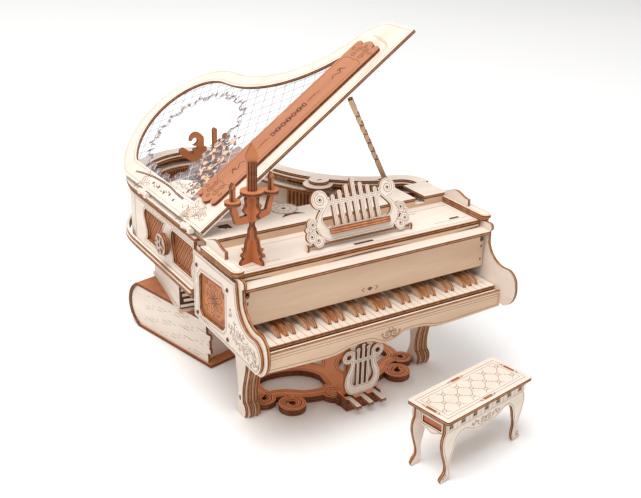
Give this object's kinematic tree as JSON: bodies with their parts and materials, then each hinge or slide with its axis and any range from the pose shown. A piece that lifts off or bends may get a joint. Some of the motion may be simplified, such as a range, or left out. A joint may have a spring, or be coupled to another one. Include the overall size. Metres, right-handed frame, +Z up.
{
  "type": "wooden grand piano puzzle model",
  "caption": "Laser-cut plywood grand piano kit with opening clear lid on a prop, tilting music desk, folding key cover, pressing keys, geared winding drive, candelabrum, book stand and bench.",
  "frame": {"origin": "on the table plane at the middle of the foot plate hub, under the middle of the keyboard", "axes": "+X to the treble side, +Y from the keyboard to the tail, +Z up"},
  "size_m": [0.1782, 0.2815, 0.2113],
  "materials": {
    "birch": "smooth, laser-burnt edges",
    "birch_face": "smooth, laser-engraved",
    "stained": "satin orange-brown stain",
    "clear_sheet": "clear printed sheet",
    "white_key": "smooth",
    "black_key": "stained",
    "electric": "matte",
    "motor_metal": "satin",
    "hinge": "burnt edges"
  },
  "bodies": {
    "piano": {"base_scrollwork": "stained", "battery_box": "electric", "bent_rim_wall": "birch_face", "book_covers": "stained", "book_pages": "birch_face", "candelabrum": "stained", "candles": "stained", "cheek_facings": "birch_face", "cheeks": "birch_face", "fallboard_lip": "stained", "front_deck": "birch", "front_legs": "stained", "gear_bridges": "birch", "key_bed": "birch", "key_pivot_rod": "birch", "key_slip": "birch_face", "key_slip_backing": "stained", "lyre_front": "birch", "lyre_stand": "birch", "motor": "motor_metal", "music_shelf": "birch", "prop_socket": "hinge", "rim_cap_lower": "birch", "rim_cap_upper": "birch", "rim_grilles": "stained", "rim_hinges": "hinge", "rim_moulding": "stained", "rim_side_panel": "birch_face", "side_caps": "birch", "soundboard": "birch", "tail_floor": "birch", "trophy": "stained"},
    "lid": {"lid_frame": "birch", "lid_clear_sheet": "clear_sheet", "lid_beam": "stained"},
    "prop": {"lid_prop": "hinge"},
    "music_desk": {"music_desk": "birch"},
    "fallboard": {"fallboard_flap": "birch_face"},
    "knob": {"winding_knob": "birch"},
    "idler_rear": {"idler_gear_rear": "birch"},
    "idler_front": {"idler_gear_front": "birch"},
    "cam_shaft": {"cam_shaft": "birch"},
    "pinion": {"motor_pinion": "birch"},
    "pedal_left": {"pedal_left": "birch"},
    "pedal_middle": {"pedal_middle": "birch"},
    "pedal_right": {"pedal_right": "birch"},
    "bench": {"bench_top": "birch", "bench_frame": "birch"},
    "keys_C": {"keys_C": "white_key"},
    "keys_D": {"keys_D": "white_key"},
    "keys_E": {"keys_E": "white_key"},
    "keys_F": {"keys_F": "white_key"},
    "keys_G": {"keys_G": "white_key"},
    "keys_A": {"keys_A": "white_key"},
    "keys_B": {"keys_B": "white_key"},
    "keys_Cs": {"keys_Cs": "black_key"},
    "keys_Ds": {"keys_Ds": "black_key"},
    "keys_Fs": {"keys_Fs": "black_key"},
    "keys_Gs": {"keys_Gs": "black_key"},
    "keys_As": {"keys_As": "black_key"}
  },
  "joints": [
    {"name": "lid_hinge", "type": "hinge", "parent": "piano", "child": "lid", "pos_m": [-0.0846, 0.06, 0.111], "axis": [0, 1, 0], "range_deg": [0, 35.3]},
    {"name": "prop_swing", "type": "hinge", "parent": "piano", "child": "prop", "pos_m": [0.0626, 0.0494, 0.1076], "axis": [0.8, 0, 0.6], "range_deg": [0, 69.7]},
    {"name": "desk_tilt", "type": "hinge", "parent": "piano", "child": "music_desk", "pos_m": [0, -0.014, 0.106], "axis": [1, 0, 0], "range_deg": [-30, 0]},
    {"name": "fallboard_swing", "type": "hinge", "parent": "piano", "child": "fallboard", "pos_m": [0, -0.0265, 0.0763], "axis": [1, 0, 0], "range_deg": [0, 88]},
    {"name": "knob_spin", "type": "hinge", "parent": "piano", "child": "knob", "pos_m": [-0.09, 0.0588, 0.0915], "axis": [1, 0, 0], "continuous": true},
    {"name": "idler_rear_spin", "type": "hinge", "parent": "piano", "child": "idler_rear", "pos_m": [-0.08, 0.03702, 0.08838], "axis": [1, 0, 0], "continuous": true},
    {"name": "idler_front_spin", "type": "hinge", "parent": "piano", "child": "idler_front", "pos_m": [-0.08, 0.01524, 0.08526], "axis": [1, 0, 0], "continuous": true},
    {"name": "cam_spin", "type": "hinge", "parent": "piano", "child": "cam_shaft", "pos_m": [0, -0.00752, 0.082], "axis": [1, 0, 0], "continuous": true},
    {"name": "pinion_spin", "type": "hinge", "parent": "piano", "child": "pinion", "pos_m": [0.078, 0.01048, 0.082], "axis": [1, 0, 0], "continuous": true},
    {"name": "keys_C_press", "type": "hinge", "parent": "piano", "child": "keys_C", "pos_m": [0, 0.004, 0.0636], "axis": [1, 0, 0], "range_deg": [0, 2], "stiffness_Nm_per_rad": 0.02},
    {"name": "keys_D_press", "type": "hinge", "parent": "piano", "child": "keys_D", "pos_m": [0, 0.004, 0.0636], "axis": [1, 0, 0], "range_deg": [0, 2], "stiffness_Nm_per_rad": 0.02},
    {"name": "keys_E_press", "type": "hinge", "parent": "piano", "child": "keys_E", "pos_m": [0, 0.004, 0.0636], "axis": [1, 0, 0], "range_deg": [0, 2], "stiffness_Nm_per_rad": 0.02},
    {"name": "keys_F_press", "type": "hinge", "parent": "piano", "child": "keys_F", "pos_m": [0, 0.004, 0.0636], "axis": [1, 0, 0], "range_deg": [0, 2], "stiffness_Nm_per_rad": 0.02},
    {"name": "keys_G_press", "type": "hinge", "parent": "piano", "child": "keys_G", "pos_m": [0, 0.004, 0.0636], "axis": [1, 0, 0], "range_deg": [0, 2], "stiffness_Nm_per_rad": 0.02},
    {"name": "keys_A_press", "type": "hinge", "parent": "piano", "child": "keys_A", "pos_m": [0, 0.004, 0.0636], "axis": [1, 0, 0], "range_deg": [0, 2], "stiffness_Nm_per_rad": 0.02},
    {"name": "keys_B_press", "type": "hinge", "parent": "piano", "child": "keys_B", "pos_m": [0, 0.004, 0.0636], "axis": [1, 0, 0], "range_deg": [0, 2], "stiffness_Nm_per_rad": 0.02},
    {"name": "keys_Cs_press", "type": "hinge", "parent": "piano", "child": "keys_Cs", "pos_m": [0, 0.004, 0.0636], "axis": [1, 0, 0], "range_deg": [0, 2], "stiffness_Nm_per_rad": 0.02},
    {"name": "keys_Ds_press", "type": "hinge", "parent": "piano", "child": "keys_Ds", "pos_m": [0, 0.004, 0.0636], "axis": [1, 0, 0], "range_deg": [0, 2], "stiffness_Nm_per_rad": 0.02},
    {"name": "keys_Fs_press", "type": "hinge", "parent": "piano", "child": "keys_Fs", "pos_m": [0, 0.004, 0.0636], "axis": [1, 0, 0], "range_deg": [0, 2], "stiffness_Nm_per_rad": 0.02},
    {"name": "keys_Gs_press", "type": "hinge", "parent": "piano", "child": "keys_Gs", "pos_m": [0, 0.004, 0.0636], "axis": [1, 0, 0], "range_deg": [0, 2], "stiffness_Nm_per_rad": 0.02},
    {"name": "keys_As_press", "type": "hinge", "parent": "piano", "child": "keys_As", "pos_m": [0, 0.004, 0.0636], "axis": [1, 0, 0], "range_deg": [0, 2], "stiffness_Nm_per_rad": 0.02},
    {"name": "pedal_left_press", "type": "hinge", "parent": "piano", "child": "pedal_left", "pos_m": [-0.0087, -0.021, 0.006], "axis": [1, 0, 0], "range_deg": [0, 4], "stiffness_Nm_per_rad": 0.002},
    {"name": "pedal_middle_press", "type": "hinge", "parent": "piano", "child": "pedal_middle", "pos_m": [0, -0.021, 0.006], "axis": [1, 0, 0], "range_deg": [0, 4], "stiffness_Nm_per_rad": 0.002},
    {"name": "pedal_right_press", "type": "hinge", "parent": "piano", "child": "pedal_right", "pos_m": [0.0087, -0.021, 0.006], "axis": [1, 0, 0], "range_deg": [0, 4], "stiffness_Nm_per_rad": 0.002},
    {"name": "bench_slide", "type": "slide", "parent": "piano", "child": "bench", "axis": [0, 1, 0], "range_m": [-0.04, 0.02]}
  ],
  "couplings": [
    {"joint": "prop_swing", "follows": "lid_hinge", "ratio": 1.97},
    {"joint": "idler_front_spin", "follows": "cam_spin", "ratio": -1.0909},
    {"joint": "idler_rear_spin", "follows": "cam_spin", "ratio": 1.0909},
    {"joint": "knob_spin", "follows": "cam_spin", "ratio": -1.0909},
    {"joint": "pinion_spin", "follows": "cam_spin", "ratio": -2}
  ]
}
